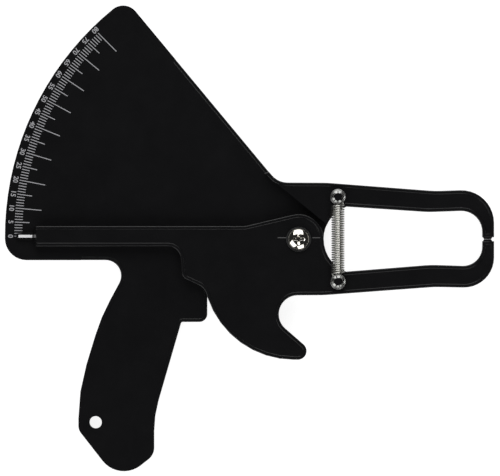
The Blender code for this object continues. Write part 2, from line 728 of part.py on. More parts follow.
def make_pivot(steel, dark, nylon, axis):
    bore = SCREW_RADIUS + GAP
    insert = bore + INSERT_WALL
    corner = NUT_FLATS / 2 / math.cos(HEXAGON_STEP / 2)
    hexagon = about_pivot(corner, 0.0, math.tau, HEXAGON_STEP)[:-1]
    screw = add("pivot_screw", head_mesh(), steel, axis)
    for across, along in ((CROSS_LENGTH, CROSS_WIDTH), (CROSS_WIDTH, CROSS_LENGTH)):
        spots = box_points(-across / 2, across / 2, -along / 2, along / 2)
        cut(screw, slab(spots, HEAD_TOP - CROSS_DEPTH, HEAD_TOP + OVERRUN))
    rings = (
        ("head_washer", HEAD_WASHER_RADIUS, bore, HEAD_WASHER_BOTTOM, HEAD_WASHER_DEPTH, dark),
        ("thrust_washer", THRUST_WASHER_RADIUS, PIVOT_BORE, THRUST_FLOOR + GAP, THRUST_WASHER_DEPTH, nylon),
        ("back_washer", BACK_WASHER_RADIUS, bore, BACK_WASHER_LOW, BACK_WASHER_DEPTH, steel),
        ("pivot_sleeve", bore + SLEEVE_WALL, bore, POCKET_ROOF, LEVER_FRONT - POCKET_ROOF, steel),
        ("nut_insert", insert, bore, NUT_BOTTOM, INSERT_DEPTH, nylon),
    )
    for name, outer, inner, low, depth, look in rings:
        add(name, washer(outer, inner, low, low + depth), look, axis)
    nut = add("lock_nut", slab(hexagon, NUT_BOTTOM, NUT_TOP), steel, axis)
    cut(nut, disc(bore, NUT_BOTTOM - OVERRUN, NUT_TOP + OVERRUN))
    cut(nut, disc(insert + GAP, NUT_BOTTOM - OVERRUN, NUT_BOTTOM + INSERT_DEPTH + GAP))


# The spring


def push_nut_mesh():
    """A dished disc whose inner edge is cut into teeth that grip the post."""
    sides = 4 * PUSH_NUT_TEETH
    bore = POST_RADIUS + GAP
    inner_rim = PUSH_NUT_RADIUS - PUSH_NUT_RIM
    low, top = PUSH_NUT_Z, PUSH_NUT_Z + PUSH_NUT_SHEET
    made = bmesh.new()
    rows = []
    for i in range(sides):
        angle = math.tau * i / sides
        inner = bore if i % 4 < 2 else bore + PUSH_NUT_SLOT_DEPTH
        lift = PUSH_NUT_DISH * (inner_rim - inner) / (inner_rim - bore)
        profile = (
            (PUSH_NUT_RADIUS, low),
            (PUSH_NUT_RADIUS, top),
            (inner_rim, top),
            (inner, top + lift),
            (inner, low + lift),
            (inner_rim, low),
        )
        rows.append([made.verts.new((*polar(radius, angle), z)) for radius, z in profile])
    for row, after in zip(rows, rows[1:] + rows[:1]):
        for j in range(len(row)):
            k = (j + 1) % len(row)
            made.faces.new((row[j], after[j], after[k], row[k]))
    return finished(made)


def loop_path():
    """The hook round the upper post, from its free end to its stem."""
    step = LOOP_TURN / LOOP_POINTS
    turns = arc((0.0, POST_Y), LOOP_RADIUS, LOOP_TURN, 0.0, step)
    return [Vector((*point, SPRING_Z)) for point in turns]


def coil_path():
    """The coil, down from its upper end."""
    count = round(COIL_TURNS * COIL_POINTS)
    for i in range(count + 1):
        angle = math.tau * i / COIL_POINTS
        height = COIL_HALF - COIL_PITCH * i / COIL_POINTS
        around = polar(COIL_RADIUS, angle)
        yield Vector((around.x, height, SPRING_Z + around.y))


def bend_path(coil_end, away):
    """The wire's bend from a stem beside the spring's axis to the coil's end."""
    side = 1 if coil_end.x > 0 else -1
    up = 1 if coil_end.y > 0 else -1
    stem = Vector((side * LOOP_RADIUS, coil_end.y + up * BEND_LENGTH, SPRING_Z))
    pull = BEND_LENGTH * BEND_PULL_SHARE
    stem_handle = stem - Vector((0.0, up * pull, 0.0))
    coil_handle = coil_end + away * pull
    return interpolate_bezier(stem, stem_handle, coil_handle, coil_end, BEND_POINTS)


def wire(name, points, look, parent):
    """A round wire along points, with its ends closed, under the upper post's empty."""
    curve = bpy.data.curves.new(name, "CURVE")
    curve.dimensions = "3D"
    curve.bevel_depth = WIRE / 2
    curve.bevel_resolution = 1
    curve.use_fill_caps = True
    line = curve.splines.new("POLY")
    line.points.add(len(points) - 1)
    for spot, point in zip(line.points, points):
        spot.co = (*(point - Vector((0.0, POST_Y, 0.0))), 1.0)
    add(name, curve, look, parent)


def least_gap(points):
    """The least gap between the wire's passes, from half a turn along it onwards."""
    apart = COIL_POINTS // 2
    distances = (
        (points[i] - points[j]).length
        for i in range(len(points))
        for j in range(i + apart, len(points))
    )
    return min(distances) - WIRE


def make_spring(look, upper_axis):
    """The spring in two nodes: the hook, bend and coil, and the lower hook."""
    toward_back = Vector((0.0, 0.0, -1.0))
    coil = list(coil_path())
    upper_bend = bend_path(coil[0], toward_back)
    lower_bend = bend_path(coil[-1], toward_back)[::-1]
    split = lower_bend[-1] - Vector((0.0, WIRE, 0.0))
    points = loop_path() + upper_bend[:-1] + coil + lower_bend[1:] + [split]
    print(f"least gap of the spring's wire to itself: {least_gap(points) * 1000:.2f} mm")
    wire("tension_spring", points, look, upper_axis)
    half_turn = Matrix.Rotation(math.pi, 3, "Z")
    hook = [half_turn @ point for point in reversed(loop_path())]
    wire("spring_lower_hook", [split - Vector((0.0, GAP, 0.0)), *hook], look, upper_axis)


def main():
    clear_scene()
    plastic = material("black_plastic", (0.012, 0.012, 0.013), 0.32)
    white = material("white_index", (0.85, 0.85, 0.85), 0.5)
    dark = material("dark_steel", (0.08, 0.08, 0.085), 0.45, 1.0)
    chrome = material("chrome", (0.75, 0.74, 0.7), 0.12, 1.0)
    steel = material("spring_steel", (0.62, 0.62, 0.64), 0.25, 1.0)
    nylon = material("nylon", (0.75, 0.74, 0.68), 0.5)

    # the part's own origin is under the middle of its outline
    edge = body_points() + fan_band_points() + upper_arm_points()
    lows = [min(point[i] for point in edge) for i in range(2)]
    highs = [max(point[i] for point in edge) for i in range(2)]
    under = [-(low + high) / 2 for low, high in zip(lows, highs)]
    pivot = add("pivot_axis", None, None, None, under)
    spring_axis = add("spring_axis", None, None, pivot, (POST_X, POST_Y))

    make_frame(plastic, pivot)
    make_lever(plastic, white, pivot)
    make_pad("upper_jaw_pad", 1, plastic, pivot)
    make_pad("lower_jaw_pad", -1, plastic, pivot)
    make_pivot(chrome, dark, nylon, pivot)
    make_spring(steel, spring_axis)
    for name, side, angle in zip(("upper_push_nut", "lower_push_nut"), (1, -1), PUSH_NUT_TURNS):
        nut = add(name, push_nut_mesh(), dark, pivot, (POST_X, side * POST_Y))
        nut.rotation_euler.z = angle


main()
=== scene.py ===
"""Finishes the skinfold caliper: black mouldings, white scale, bright screw and spring."""

import math

import bmesh
import bpy
from mathutils import Matrix, Vector
from mathutils.geometry import interpolate_bezier


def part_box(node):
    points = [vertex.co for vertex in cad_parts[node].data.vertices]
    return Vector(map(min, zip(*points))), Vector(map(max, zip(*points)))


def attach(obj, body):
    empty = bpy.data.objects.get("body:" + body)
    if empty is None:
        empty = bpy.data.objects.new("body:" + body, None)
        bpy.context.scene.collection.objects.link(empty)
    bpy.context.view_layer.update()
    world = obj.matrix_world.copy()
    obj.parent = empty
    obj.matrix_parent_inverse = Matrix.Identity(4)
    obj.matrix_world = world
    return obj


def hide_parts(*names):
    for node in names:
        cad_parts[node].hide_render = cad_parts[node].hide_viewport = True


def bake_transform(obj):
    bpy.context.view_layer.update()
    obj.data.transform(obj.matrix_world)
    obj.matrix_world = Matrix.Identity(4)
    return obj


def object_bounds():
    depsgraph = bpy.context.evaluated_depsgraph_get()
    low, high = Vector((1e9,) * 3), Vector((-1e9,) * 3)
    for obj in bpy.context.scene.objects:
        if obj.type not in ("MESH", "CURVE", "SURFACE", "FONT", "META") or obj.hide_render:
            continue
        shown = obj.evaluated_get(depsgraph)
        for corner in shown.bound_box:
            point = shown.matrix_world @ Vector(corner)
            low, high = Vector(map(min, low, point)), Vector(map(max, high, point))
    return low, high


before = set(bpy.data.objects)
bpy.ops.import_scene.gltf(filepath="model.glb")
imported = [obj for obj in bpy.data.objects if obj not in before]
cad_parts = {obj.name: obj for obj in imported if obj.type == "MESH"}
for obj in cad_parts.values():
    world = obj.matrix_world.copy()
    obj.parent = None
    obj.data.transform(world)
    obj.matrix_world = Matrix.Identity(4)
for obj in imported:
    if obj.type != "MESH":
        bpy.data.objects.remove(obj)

CAD_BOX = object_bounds()


def middle(node):
    low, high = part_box(node)
    return (low + high) / 2


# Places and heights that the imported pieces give
PIVOT = middle("pivot_screw").to_2d()
UPPER_POST = middle("upper_push_nut").to_2d()
LOWER_POST = middle("lower_push_nut").to_2d()
RIM_STEP = 0.0004  # the frame's and the lever's raised rims stand this far over their faces
DIAL_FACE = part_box("thrust_washer")[1].z - RIM_STEP
LEVER_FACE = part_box("pivot_sleeve")[1].z
SCREW_LOW, SCREW_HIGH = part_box("pivot_screw")
HEAD_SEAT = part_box("head_washer")[1].z
NUT_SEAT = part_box("upper_push_nut")[0].z
NUT_OUTSIDE = (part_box("upper_push_nut")[1] - middle("upper_push_nut")).x
COIL_LOW, COIL_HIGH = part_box("tension_spring")
HOOK_LOW, HOOK_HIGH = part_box("spring_lower_hook")

# Shared sizes, in metres
PIXEL = 0.00055  # one pixel of the photograph
GAP = 0.0003  # clearance under the screw's head
MERGE = 0.000002
FLAT_ANGLE = math.radians(0.4)
SHARP_ANGLE = math.radians(32)
QUARTER = math.pi / 2

# The printed scale, whose centre is a little above the pivot
SCALE_MARKS = 81
SCALE_RISE = 0.00275
SCALE_FIRST_ANGLE = math.radians(-0.39)  # of the zero mark, over the level of that centre
SCALE_DIVISION = math.radians(0.5686)
SCALE_RADIUS = 0.1565
MINOR_LENGTH = 0.0043
FIVE_LENGTH = 0.0082
TEN_LENGTH = 0.0143
MARK_WIDTH = 0.00046
FIVE, TEN = 5, 10
INK = 0.00004
NUMERAL_RADIUS = 0.1588
NUMERAL_SIZE = 0.0037
NUMERAL_WEIGHT = 0.00007
SCALE_CENTRE = PIVOT + Vector((0.0, SCALE_RISE))

# The screw
HEAD_RADIUS = (SCREW_HIGH.x - SCREW_LOW.x) / 2
HEAD_RIM = 0.0007
HEAD_ROUND = 0.0004
SHANK_RADIUS = 0.0025
HEAD_SIDES = 96
CORNER_TURNS = range(-75, 1, 15)  # degrees round the rim's lower corner
DOME_TURNS = range(2, 90, 4)  # degrees up the dome
CROSS_LENGTH = 0.0058
CROSS_WIDTH = 0.00125
CROSS_DEPTH = 0.0018
CROSS_TAPER_SHARE = 0.45

# The push nuts
NUT_TEETH = 8
NUT_SHEET = 0.0005
NUT_BORE = 0.0021
NUT_SLOT = 0.0012
NUT_RIM = 0.0009
NUT_LIFT = 0.0006
NUT_ROLL = 0.00022
ROLL_TURNS = range(0, 91, 30)  # degrees round the rolled rim
NUT_TOOTH_STEPS = 10
NUT_SLOT_STEPS = 4
NUT_TURNS = (math.radians(8), math.radians(25))

# The spring
WIRE = 0.0008
COIL_TURNS = 29.5
COIL_POINTS = 24
WIRE_SIDES = 10
LOOP_TURN = math.radians(262)
LOOP_POINTS = 40
BEND_LENGTH = 0.0027
BEND_POINTS = 12
BEND_PULL_SHARE = 0.45
SPRING_LEVEL = (HOOK_LOW.z + HOOK_HIGH.z) / 2
COIL_RADIUS = (COIL_HIGH.x - COIL_LOW.x - WIRE) / 2
LOOP_RADIUS = (HOOK_HIGH.x - HOOK_LOW.x - WIRE) / 2
COIL_PITCH = 0.00127

# The contact pads
PAD_FACE_WIDTH = 0.0038
PAD_SHOULDER_WIDTH = 0.0056
PAD_SEAT = 0.0014
PAD_GAP = 0.00003
PAD_ROUND = 0.0003
PAD_FACE_SHARE = 1 / 3  # of the rounding, taken off the contact face

# The moulded centre lines on the lever, and each one's start and end, as x, y, x, y from the pivot
LINE_WIDTH = 0.0009
LINE_HEIGHT = 0.0001
LINE_SHIFT = Vector((0.0006, 0.0008))
LINES = (
    (0.0, -0.0095, 0.0, -0.0272),
    (0.0, 0.0080, 0.0, 0.0120),
    (-0.0066, 0.0, -0.0122, 0.0),
    (0.0070, 0.0, 0.0115, 0.0),
)

# The finishes' shared variation
HAZE_DETAIL = 5.0
HAZE_ROUGHNESS = 0.65
GRAIN_SHARE = 0.5
NOISE_MIDDLE = 0.5
BUMP_STRENGTH = 0.1

# Each finish: colour, haze colour, roughness, its spread, and what differs from the usual
FINISHES = {
    "black_plastic": ((0.0044, 0.0044, 0.0049), (0.0066, 0.0066, 0.0073), 0.2, 0.08, {}),
    "white_print": ((0.3, 0.3, 0.315), (0.46, 0.46, 0.48), 0.5, 0.1, {"haze_scale": 700.0}),
    "white_index": ((0.82, 0.82, 0.84), (0.9, 0.9, 0.9), 0.4, 0.1, {"haze_scale": 400.0}),
    "chrome": (
        (0.80, 0.78, 0.72),
        (0.72, 0.69, 0.62),
        0.07,
        0.05,
        {"metallic": 1.0, "haze_scale": 300.0, "grain": 4000.0, "depth": 0.000004},
    ),
    "spring_steel": (
        (0.74, 0.74, 0.70),
        (0.62, 0.61, 0.57),
        0.2,
        0.12,
        {"metallic": 1.0, "haze_scale": 500.0, "grain": 3000.0},
    ),
    "dark_steel": (
        (0.42, 0.42, 0.41),
        (0.30, 0.30, 0.29),
        0.24,
        0.12,
        {"metallic": 1.0, "haze_scale": 500.0, "grain": 2600.0},
    ),
    "washer_steel": ((0.05, 0.05, 0.052), (0.09, 0.09, 0.09), 0.4, 0.15, {"metallic": 1.0}),
    "zinc_steel": (
        (0.62, 0.62, 0.62),
        (0.5, 0.5, 0.52),
        0.3,
        0.15,
        {"metallic": 1.0, "haze_scale": 400.0},
    ),
    "nylon": ((0.72, 0.70, 0.64), (0.78, 0.77, 0.72), 0.5, 0.1, {}),
}

# The studio
CAMERA_LENS = 600
CAMERA_SENSOR = 36
CAMERA_REACH = 100.0
FRAME_WIDTH = 500 * PIXEL
CAMERA_CENTRE = Vector((0.0004, 0.0002, 0.0))
LIGHT_DISTANCE = 1.5
SOFTBOXES = (  # azimuth and tilt from above in degrees, width, height, radiance
    (92, 46, 1.35, 1.35, 2.3),
    (222, 44, 0.9, 1.1, 1.9),
    (287, 50, 0.85, 1.1, 1.9),
    (355, 25, 0.2, 0.24, 4.0),
)
HORIZON_GLOSS = 0.12
ZENITH_GLOSS = 0.02
ZENITH_HEIGHT = 0.5  # the share of the way up where the gloss has faded to the zenith's
FILL = 0.14
FLOOR_GLOSS = 0.3
FLOOR_WHITE = 0.88
FLOOR_PAINT = (0.4, 0.4, 0.4, 1.0)
FLOOR_SIZE = 24.0
FLOOR_GAP = 0.00004


# Node trees


def put(tree, kind, settings=None, inputs=None):
    """A node with its settings, and its inputs as values or as sockets to link."""
    node = tree.nodes.new(kind)
    for name, value in (settings or {}).items():
        setattr(node, name, value)
    for key, value in (inputs or {}).items():
        if isinstance(value, bpy.types.NodeSocket):
            tree.links.new(value, node.inputs[key])
        else:
            node.inputs[key].default_value = value
    return node


def maths(tree, operation, first, second=0.0):
    return put(tree, "ShaderNodeMath", {"operation": operation}, {0: first, 1: second}).outputs[0]


def group(kind, name, inputs, outputs):
    """An empty group with its named sockets: the tree, what goes in and what comes out."""
    tree = bpy.data.node_groups.new(name, kind)
    for title, socket, value in inputs:
        made = tree.interface.new_socket(title, in_out="INPUT", socket_type=socket)
        if value is not None:
            made.default_value = value
    for title, socket in outputs:
        tree.interface.new_socket(title, in_out="OUTPUT", socket_type=socket)
    return tree, tree.nodes.new("NodeGroupInput").outputs, tree.nodes.new("NodeGroupOutput").inputs


def surface_group():
    """Fine grain, and a slower haze that varies colour and gloss."""
    tree, given, result = group(
        "ShaderNodeTree",
        "surface_variation",
        (
            ("Grain scale", "NodeSocketFloat", 1800.0),
            ("Haze scale", "NodeSocketFloat", 60.0),
            ("Roughness", "NodeSocketFloat", 0.3),
            ("Roughness spread", "NodeSocketFloat", 0.1),
            ("Colour", "NodeSocketColor", (0.5, 0.5, 0.5, 1.0)),
            ("Haze colour", "NodeSocketColor", (0.5, 0.5, 0.5, 1.0)),
        ),
        (
            ("Colour", "NodeSocketColor"),
            ("Roughness", "NodeSocketFloat"),
            ("Height", "NodeSocketFloat"),
        ),
    )
    place = put(tree, "ShaderNodeTexCoord").outputs["Object"]
    grain = put(
        tree, "ShaderNodeTexNoise", None, {"Vector": place, "Scale": given["Grain scale"]}
    ).outputs[0]
    haze = put(
        tree,
        "ShaderNodeTexNoise",
        None,
        {
            "Vector": place,
            "Scale": given["Haze scale"],
            "Detail": HAZE_DETAIL,
            "Roughness": HAZE_ROUGHNESS,
        },
    ).outputs[0]
    slow = maths(tree, "SUBTRACT", haze, NOISE_MIDDLE)
    fine = maths(tree, "MULTIPLY", maths(tree, "SUBTRACT", grain, NOISE_MIDDLE), GRAIN_SHARE)
    swing = maths(tree, "MULTIPLY", maths(tree, "ADD", slow, fine), given["Roughness spread"])
    tint = put(
        tree,
        "ShaderNodeMix",
        {"data_type": "RGBA"},
        {"Factor": haze, 6: given["Colour"], 7: given["Haze colour"]},
    )
    tree.links.new(tint.outputs[2], result["Colour"])
    tree.links.new(maths(tree, "ADD", swing, given["Roughness"]), result["Roughness"])
    tree.links.new(grain, result["Height"])
    return tree


def finish_of(name, variation, colour, haze, roughness, spread, **more):
    """A finish whose colour, gloss and grain come from the shared group."""
    made = bpy.data.materials.new(name)
    made.use_nodes = True
    tree = made.node_tree
    surface = tree.nodes["Principled BSDF"]
    surface.inputs["Metallic"].default_value = more.get("metallic", 0.0)
    effect = put(
        tree,
        "ShaderNodeGroup",
        {"node_tree": variation},
        {
            "Grain scale": more.get("grain", 1800.0),
            "Haze scale": more.get("haze_scale", 60.0),
            "Roughness": roughness,
            "Roughness spread": spread,
            "Colour": (*colour, 1.0),
            "Haze colour": (*haze, 1.0),
        },
    )
    bump = put(
        tree,
        "ShaderNodeBump",
        None,
        {
            "Strength": BUMP_STRENGTH,
            "Distance": more.get("depth", 0.00002),
            "Height": effect.outputs["Height"],
        },
    )
    tree.links.new(effect.outputs["Colour"], surface.inputs["Base Color"])
    tree.links.new(effect.outputs["Roughness"], surface.inputs["Roughness"])
    tree.links.new(bump.outputs[0], surface.inputs["Normal"])
    return made


def finishes():
    variation = surface_group()
    return {
        name: finish_of(name, variation, colour, haze, roughness, spread, **more)
        for name, (colour, haze, roughness, spread, more) in FINISHES.items()
    }


# Meshes and pieces


def polar(radius, angle):
    return Vector((radius * math.cos(angle), radius * math.sin(angle)))


def finished(made):
    """A mesh from a bmesh, its faces outwards and shaded smooth but at its sharp edges."""
    bmesh.ops.remove_doubles(made, verts=made.verts, dist=MERGE)
    bmesh.ops.recalc_face_normals(made, faces=made.faces)
    mesh = bpy.data.meshes.new("shape")
    made.to_mesh(mesh)
    made.free()
    mesh.shade_smooth()
    mesh.set_sharp_from_angle(angle=SHARP_ANGLE)
    return mesh


def linked(name, data):
    thing = bpy.data.objects.new(name, data)
    bpy.context.scene.collection.objects.link(thing)
    return thing


def baked(thing):
    """The object with its modifiers turned into a plain mesh."""
    graph = bpy.context.evaluated_depsgraph_get()
    graph.update()
    mesh = bpy.data.meshes.new_from_object(thing.evaluated_get(graph), depsgraph=graph)
    name = thing.name
    bpy.data.objects.remove(thing)
    mesh.name = name
    return linked(name, mesh)


def dress(thing, finish, body):
    """Gives a piece its finish, and lets it ride on a body."""
    thing.data.materials.clear()
    thing.data.materials.append(finish)
    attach(thing, body)


def refined(node, name):
    """The node's solid with its triangles merged and its rounded edges shaded evenly."""
    made = bmesh.new()
    made.from_mesh(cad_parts[node].data)
    bmesh.ops.remove_doubles(made, verts=made.verts, dist=MERGE)
    bmesh.ops.dissolve_limit(made, angle_limit=FLAT_ANGLE, verts=made.verts, edges=made.edges)
    mesh = bpy.data.meshes.new(name)
    made.to_mesh(mesh)
    made.free()
    mesh.shade_smooth()
    mesh.set_sharp_from_angle(angle=SHARP_ANGLE)
    thing = linked(name, mesh)
    even = thing.modifiers.new("even_shading", "WEIGHTED_NORMAL")
    even.keep_sharp = True
    even.weight = 100
    thing = baked(thing)
    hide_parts(node)
    return thing


# The printed scale


def every(tree, index, step):
    """1 at each mark whose number is a multiple of the step, and 0 at the others."""
    return maths(tree, "LESS_THAN", maths(tree, "MODULO", index, float(step)), 0.5)


def scale_tree(ink):
    """The marks: one bar for each millimetre of jaw opening, longer at fives and tens."""
    tree, given, result = group(
        "GeometryNodeTree",
        "scale_marks",
        (
            ("Marks", "NodeSocketInt", SCALE_MARKS),
            ("Division", "NodeSocketFloat", SCALE_DIVISION),
            ("First angle", "NodeSocketFloat", SCALE_FIRST_ANGLE),
            ("Radius", "NodeSocketFloat", SCALE_RADIUS),
            ("Minor length", "NodeSocketFloat", MINOR_LENGTH),
            ("Five length", "NodeSocketFloat", FIVE_LENGTH),
            ("Ten length", "NodeSocketFloat", TEN_LENGTH),
            ("Width", "NodeSocketFloat", MARK_WIDTH),
            ("Ink", "NodeSocketFloat", INK),
            ("Centre", "NodeSocketVector", (*SCALE_CENTRE, DIAL_FACE + INK / 2)),
        ),
        (("Geometry", "NodeSocketGeometry"),),
    )
    index = put(tree, "GeometryNodeInputIndex").outputs[0]
    turn = maths(tree, "MULTIPLY", index, given["Division"])
    angle = maths(tree, "SUBTRACT", math.pi, maths(tree, "ADD", turn, given["First angle"]))
    more_five = maths(tree, "SUBTRACT", given["Five length"], given["Minor length"])
    more_ten = maths(tree, "SUBTRACT", given["Ten length"], given["Five length"])
    more_five = maths(tree, "MULTIPLY", every(tree, index, FIVE), more_five)
    more_ten = maths(tree, "MULTIPLY", every(tree, index, TEN), more_ten)
    length = maths(tree, "ADD", maths(tree, "ADD", given["Minor length"], more_five), more_ten)
    radius = maths(tree, "SUBTRACT", given["Radius"], maths(tree, "DIVIDE", length, 2.0))
    across = maths(tree, "MULTIPLY", radius, maths(tree, "COSINE", angle))
    up = maths(tree, "MULTIPLY", radius, maths(tree, "SINE", angle))
    spot = put(tree, "ShaderNodeCombineXYZ", None, {"X": across, "Y": up}).outputs[0]
    place = put(
        tree, "ShaderNodeVectorMath", {"operation": "ADD"}, {0: spot, 1: given["Centre"]}
    ).outputs[0]
    points = put(tree, "GeometryNodePoints", None, {"Count": given["Marks"], "Position": place})
    size = put(
        tree, "ShaderNodeCombineXYZ", None, {"X": length, "Y": given["Width"], "Z": given["Ink"]}
    )
    rotation = put(tree, "ShaderNodeCombineXYZ", None, {"Z": angle})
    bar = put(tree, "GeometryNodeMeshCube")
    spread = put(
        tree,
        "GeometryNodeInstanceOnPoints",
        None,
        {
            "Points": points.outputs[0],
            "Instance": bar.outputs["Mesh"],
            "Rotation": rotation.outputs[0],
            "Scale": size.outputs[0],
        },
    )
    real = put(tree, "GeometryNodeRealizeInstances", None, {0: spread.outputs[0]})
    inked = put(
        tree, "GeometryNodeSetMaterial", None, {"Geometry": real.outputs[0], "Material": ink}
    )
    tree.links.new(inked.outputs[0], result["Geometry"])
    return tree


def mark_angle(division):
    """Where on the dial a division is marked."""
    return math.pi - SCALE_FIRST_ANGLE - division * SCALE_DIVISION


def make_marks(look):
    marks = linked("scale_marks", bpy.data.meshes.new("scale_marks"))
    marks.modifiers.new("marks", "NODES").node_group = scale_tree(look["white_print"])
    dress(baked(marks), look["white_print"], "frame")


def make_numerals(look):
    """The numbers, upright as seen from the pivot."""
    joined = bmesh.new()
    for number in range(0, SCALE_MARKS, FIVE):
        words = bpy.data.curves.new("numeral", "FONT")
        words.body = str(number)
        words.size = NUMERAL_SIZE
        words.offset = NUMERAL_WEIGHT
        words.extrude = INK / 2
        words.align_x, words.align_y = "CENTER", "CENTER"
        text = linked("numeral", words)
        bpy.context.view_layer.update()
        mesh = bpy.data.meshes.new_from_object(text)
        bpy.data.objects.remove(text)
        angle = mark_angle(number)
        spot = SCALE_CENTRE + polar(NUMERAL_RADIUS, angle)
        place = Matrix.Translation((*spot, DIAL_FACE + INK / 2))
        mesh.transform(place @ Matrix.Rotation(angle + QUARTER, 4, "Z"))
        joined.from_mesh(mesh)
    numerals = linked("scale_numerals", finished(joined))
    dress(numerals, look["white_print"], "frame")


# The screw


def on_ring(made, centre, radius, angle, height):
    return made.verts.new((*(centre + polar(radius, angle)), height))


def turned(profile, sides, centre):
    """A closed solid about a vertical axis, from (radius, height) up its outside."""
    made = bmesh.new()
    rows = []
    for i in range(sides):
        angle = math.tau * i / sides
        rows.append([on_ring(made, centre, radius, angle, z) for radius, z in profile])
    for row, after in zip(rows, rows[1:] + rows[:1]):
        for j in range(len(profile) - 1):
            made.faces.new((row[j], after[j], after[j + 1], row[j + 1]))
    made.faces.new([row[0] for row in rows])
    made.faces.new([row[-1] for row in rows])
    return finished(made)


def head_profile():
    """The shank, the head's seat, its rounded rim and its dome."""
    top = SCREW_HIGH.z
    rim = HEAD_SEAT + GAP + HEAD_RIM
    rise = top - rim
    profile = [
        (SHANK_RADIUS, SCREW_LOW.z),
        (SHANK_RADIUS, HEAD_SEAT + GAP),
        (HEAD_RADIUS - HEAD_ROUND, HEAD_SEAT + GAP),
    ]
    corner = Vector((HEAD_RADIUS - HEAD_ROUND, HEAD_SEAT + GAP + HEAD_ROUND))
    profile += [corner + polar(HEAD_ROUND, math.radians(turn)) for turn in CORNER_TURNS]
    for turn in DOME_TURNS:
        angle = math.radians(turn)
        profile.append((HEAD_RADIUS * math.cos(angle), rim + rise * math.sin(angle)))
    return profile


def cross_wedge(along):
    """One tapered slot of the cross recess, as a cutter."""
    made = bmesh.new()
    half, wide = CROSS_LENGTH / 2, CROSS_WIDTH / 2
    levels = (
        (SCREW_HIGH.z - CROSS_DEPTH, CROSS_TAPER_SHARE),
        (SCREW_HIGH.z + HEAD_RIM, 1.0 + CROSS_TAPER_SHARE),
    )
    loops = []
    for height, share in levels:
        reach = half * share
        corners = ((-reach, -wide), (reach, -wide), (reach, wide), (-reach, wide))
        spots = [Vector(corner) if along else Vector((corner[1], corner[0])) for corner in corners]
        loops.append([made.verts.new((*(PIVOT + spot), height)) for spot in spots])
    made.faces.new(loops[0])
    made.faces.new(loops[1])
    for i in range(4):
        j = (i + 1) % 4
        made.faces.new((loops[0][i], loops[0][j], loops[1][j], loops[1][i]))
    return finished(made)


def make_screw(look):
    screw = linked("pivot_screw_head", turned(head_profile(), HEAD_SIDES, PIVOT))
    cutters = [linked("cross_cutter", cross_wedge(along)) for along in (True, False)]
    for cutter in cutters:
        step = screw.modifiers.new("cross", "BOOLEAN")
        step.operation = "DIFFERENCE"
        step.object = cutter
    screw = baked(screw)
    for cutter in cutters:
        bpy.data.objects.remove(cutter)
    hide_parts("pivot_screw")
    dress(screw, look["chrome"], "frame")


# The push nuts


def nut_profile(inner, lift):
    """A section of the pressed disc: a rolled rim, and a tooth that rises to the post."""
    low, top = NUT_SEAT, NUT_SEAT + NUT_SHEET
    bend = NUT_OUTSIDE - NUT_RIM
    roll = Vector((NUT_OUTSIDE - NUT_ROLL, top - NUT_ROLL))
    rolled = [roll + polar(NUT_ROLL, math.radians(turn)) for turn in ROLL_TURNS]
    return [
        (NUT_OUTSIDE, low),
        *rolled,
        (bend, top),
        (inner, top + lift),
        (inner, low + lift),
        (bend, low),
    ]


def nut_mesh(centre, turn):
    made = bmesh.new()
    period = NUT_TOOTH_STEPS + NUT_SLOT_STEPS
    full = NUT_OUTSIDE - NUT_RIM - NUT_BORE
    rows = []
    for i in range(NUT_TEETH * period):
        angle = turn + math.tau * i / (NUT_TEETH * period)
        inner = NUT_BORE if i % period < NUT_TOOTH_STEPS else NUT_BORE + NUT_SLOT
        lift = NUT_LIFT * (NUT_OUTSIDE - NUT_RIM - inner) / full
        section = nut_profile(inner, lift)
        rows.append([on_ring(made, centre, radius, angle, z) for radius, z in section])
    for row, after in zip(rows, rows[1:] + rows[:1]):
        for j in range(len(row)):
            k = (j + 1) % len(row)
            made.faces.new((row[j], after[j], after[k], row[k]))
    return finished(made)


def make_push_nuts(look):
    places = (("upper_push_nut", UPPER_POST, "frame"), ("lower_push_nut", LOWER_POST, "lever"))
    for (node, centre, body), turn in zip(places, NUT_TURNS):
        nut = linked(node + "_disc", nut_mesh(centre, turn))
        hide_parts(node)
        dress(nut, look["dark_steel"], body)


# The spring


def loop_path(post, first, last):
    """Part of a turn round a post, at the spring's level."""
    turns = [first + (last - first) * i / LOOP_POINTS for i in range(LOOP_POINTS + 1)]
    return [Vector((*(post + polar(LOOP_RADIUS, turn)), SPRING_LEVEL)) for turn in turns]


def coil_path():
    """The coil, down from its upper end, halfway between the posts."""
    count = round(COIL_TURNS * COIL_POINTS)
    centre = (UPPER_POST + LOWER_POST) / 2
    half = COIL_TURNS * COIL_PITCH / 2
    path = []
    for i in range(count + 1):
        around = polar(COIL_RADIUS, math.tau * i / COIL_POINTS)
        height = half - COIL_PITCH * i / COIL_POINTS
        path.append(Vector((centre.x + around.x, centre.y + height, SPRING_LEVEL + around.y)))
    return path


def bend_path(coil_end, post):
    """The wire's bend from a stem beside the spring's axis to the coil's end."""
    side = 1 if coil_end.x > post.x else -1
    up = 1 if post.y > coil_end.y else -1
    stem = Vector((post.x + side * LOOP_RADIUS, coil_end.y + up * BEND_LENGTH, SPRING_LEVEL))
    pull = BEND_LENGTH * BEND_PULL_SHARE
    stem_handle = stem - Vector((0.0, up * pull, 0.0))
    coil_handle = coil_end - Vector((0.0, 0.0, pull))
    return interpolate_bezier(stem, stem_handle, coil_handle, coil_end, BEND_POINTS)


